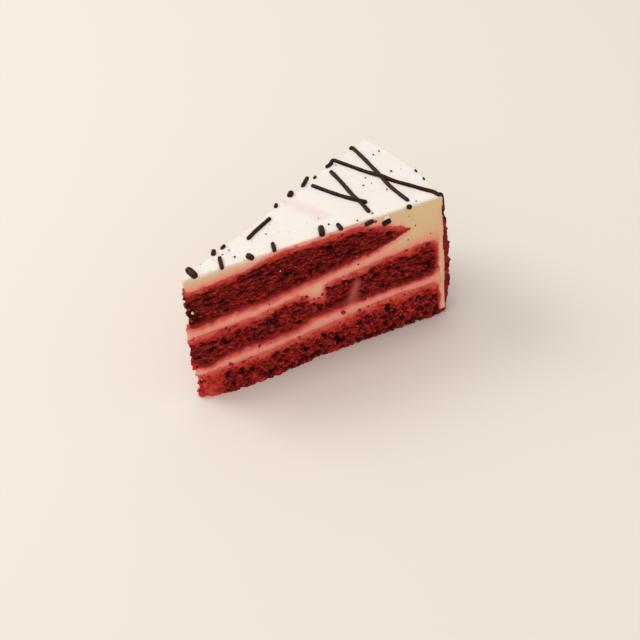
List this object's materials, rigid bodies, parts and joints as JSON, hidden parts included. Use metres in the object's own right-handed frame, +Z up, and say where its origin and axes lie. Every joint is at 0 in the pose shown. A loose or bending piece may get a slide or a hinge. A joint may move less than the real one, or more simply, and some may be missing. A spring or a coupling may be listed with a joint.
{
  "type": "red velvet cake slice",
  "caption": "Wedge slice of red velvet layer cake with sponge layers, cream fillings, cream icing, rim crumbs and chocolate strands.",
  "frame": {"origin": "on the flat underside, on the slice's middle plane, 68 mm from the middle of the whole cake, halfway along the slice's length", "axes": "+Z up, +X from the tip to the rim, +Y to the left when looking from the tip to the rim"},
  "size_m": [0.1322, 0.0592, 0.0739],
  "materials": {
    "sponge": "open red crumb, matte",
    "filling": "smooth cream stained red along its borders, satin",
    "icing": "smooth cream, satin",
    "chocolate": "dark chocolate, soft gloss",
    "crumbs": "loose red cake crumb, matte"
  },
  "bodies": {
    "root": {"sponge_bottom": "sponge", "filling_lower": "filling", "sponge_middle": "sponge", "filling_upper": "filling", "sponge_top": "sponge", "icing": "icing"}
  },
  "joints": []
}
